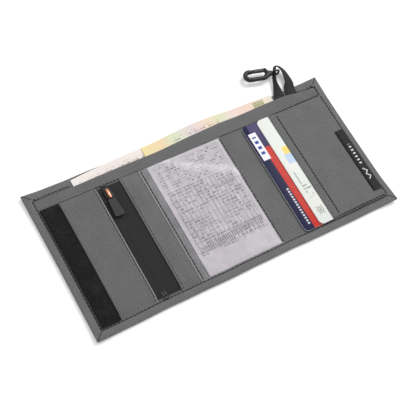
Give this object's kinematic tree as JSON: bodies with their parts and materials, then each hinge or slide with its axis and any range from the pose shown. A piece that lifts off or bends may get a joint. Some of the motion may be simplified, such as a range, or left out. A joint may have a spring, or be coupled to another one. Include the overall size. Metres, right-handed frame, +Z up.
{
  "type": "trifold travel wallet",
  "caption": "Flat trifold travel wallet of woven nylon with note compartment, zipped coin pocket, clear window, card pocket and snap hook on a webbing loop.",
  "frame": {"origin": "middle of the open wallet's underside, on the surface that it lies on", "axes": "+X along the long side towards the card panel, +Y towards the banknote opening, +Z up out of the pockets"},
  "size_m": [0.228, 0.1304, 0.0075],
  "materials": {
    "grey_nylon": "woven, matt",
    "grey_tape": "folded woven tape, matt",
    "lining": "thin woven, matt",
    "hook_tape": "napped, matt",
    "zip_tape": "fine woven, matt",
    "zip_coil": "satin",
    "slider_metal": "plated copper tone, satin",
    "pull_rubber": "moulded, satin",
    "film": "clear, glossy",
    "paper": "printed paper, matt",
    "card_navy": "gloss",
    "card_white": "gloss",
    "label_fabric": "woven, matt",
    "webbing": "ribbed weave, matt",
    "hook_plastic": "moulded, satin",
    "pin_steel": "satin",
    "note_pale": "printed paper, matt",
    "note_warm": "printed paper, matt"
  },
  "bodies": {
    "middle_panel": {"shell_middle": "grey_nylon", "lining_middle": "lining", "inner_wall_middle": "grey_nylon", "border_middle_bottom": "grey_tape", "border_middle_top": "grey_tape", "window_film": "film", "card_panel_middle": "grey_nylon"},
    "left_panel": {"shell_left": "grey_nylon", "lining_left": "lining", "inner_wall_left": "grey_nylon", "border_left_side": "grey_tape", "border_left_bottom": "grey_tape", "border_left_top": "grey_tape", "hook_strip": "hook_tape", "coin_pocket_bag": "lining", "coin_pocket_face_left": "grey_nylon", "coin_pocket_face_right": "grey_nylon", "zip_tape_left": "zip_tape", "zip_tape_right": "zip_tape", "zip_coil_left": "zip_coil", "zip_coil_right": "zip_coil", "zip_top_stop": "slider_metal", "zip_bottom_stop": "slider_metal"},
    "right_panel": {"shell_right": "grey_nylon", "lining_right": "lining", "inner_wall_right": "grey_nylon", "border_right_side": "grey_tape", "border_right_bottom": "grey_tape", "border_right_top": "grey_tape", "loop_strip": "hook_tape", "card_panel_right": "grey_nylon", "card_pocket_face": "grey_nylon", "webbing_tab": "webbing"},
    "slider": {"zip_slider": "slider_metal"},
    "pull": {"zip_pull": "pull_rubber"},
    "rear_card": {"card_navy": "card_navy"},
    "front_card": {"card_white": "card_white"},
    "label": {"side_label": "label_fabric"},
    "insert": {"insert_paper": "paper"},
    "note_a": {"note_a_middle": "note_pale"},
    "note_a_end": {"note_a_left": "note_pale"},
    "note_b": {"note_b_middle": "note_warm"},
    "note_b_end": {"note_b_right": "note_warm"},
    "webbing": {"webbing_loop": "webbing"},
    "swivel": {"swivel_ring": "hook_plastic"},
    "hook": {"snap_hook": "hook_plastic", "gate_pin": "pin_steel"},
    "gate": {"hook_gate": "hook_plastic"}
  },
  "joints": [
    {"name": "left_fold", "type": "hinge", "parent": "middle_panel", "child": "left_panel", "pos_m": [-0.037, 0, 0.00715], "axis": [0, 1, 0], "range_deg": [0, 179.5]},
    {"name": "right_fold", "type": "hinge", "parent": "middle_panel", "child": "right_panel", "pos_m": [0.0395, 0, 0.0043], "axis": [0, -1, 0], "range_deg": [0, 179.5]},
    {"name": "zip_slide", "type": "slide", "parent": "left_panel", "child": "slider", "axis": [0, 1, 0], "range_m": [-0.073, 0.0015]},
    {"name": "pull_hinge", "type": "hinge", "parent": "slider", "child": "pull", "pos_m": [-0.063, 0.0303, 0.00455], "axis": [1, 0, 0], "range_deg": [-140, 0]},
    {"name": "rear_card_slide", "type": "slide", "parent": "right_panel", "child": "rear_card", "axis": [1, 0, 0], "range_m": [-0.032, 0]},
    {"name": "front_card_slide", "type": "slide", "parent": "right_panel", "child": "front_card", "axis": [1, 0, 0], "range_m": [-0.044, 0]},
    {"name": "label_flap", "type": "hinge", "parent": "right_panel", "child": "label", "pos_m": [0.1082, -0.017, 0.005], "axis": [0, -1, 0], "range_deg": [-120, 0]},
    {"name": "insert_slide", "type": "slide", "parent": "middle_panel", "child": "insert", "axis": [0, -1, 0], "range_m": [-0.06, 0]},
    {"name": "note_a_slide", "type": "slide", "parent": "middle_panel", "child": "note_a", "axis": [0, -1, 0], "range_m": [-0.045, 0]},
    {"name": "note_a_fold", "type": "hinge", "parent": "note_a", "child": "note_a_end", "pos_m": [-0.037, 0, 0.00715], "axis": [0, 1, 0], "range_deg": [-1, 181]},
    {"name": "note_b_slide", "type": "slide", "parent": "middle_panel", "child": "note_b", "axis": [0, -1, 0], "range_m": [-0.045, 0]},
    {"name": "note_b_fold", "type": "hinge", "parent": "note_b", "child": "note_b_end", "pos_m": [0.0395, 0, 0.0043], "axis": [0, -1, 0], "range_deg": [-1, 181]},
    {"name": "webbing_lift", "type": "hinge", "parent": "right_panel", "child": "webbing", "pos_m": [0.086, 0.055, 0.00196], "axis": [-1, 0, 0], "range_deg": [-90, 0]},
    {"name": "ring_tilt", "type": "hinge", "parent": "webbing", "child": "swivel", "pos_m": [0.0883, 0.0674, 0.00348], "axis": [-0.2334, -0.9724, 0], "range_deg": [-25, 0]},
    {"name": "hook_swivel", "type": "hinge", "parent": "swivel", "child": "hook", "pos_m": [0.0883, 0.0674, 0.00418], "axis": [-0.9724, 0.2334, 0], "continuous": true},
    {"name": "gate_hinge", "type": "hinge", "parent": "hook", "child": "gate", "pos_m": [0.08185, 0.07224, 0.00418], "axis": [0, 0, -1], "range_deg": [-15, 0], "stiffness_Nm_per_rad": 0.01}
  ],
  "couplings": [
    {"joint": "note_a_fold", "follows": "left_fold", "ratio": 1},
    {"joint": "note_b_fold", "follows": "right_fold", "ratio": 1}
  ]
}
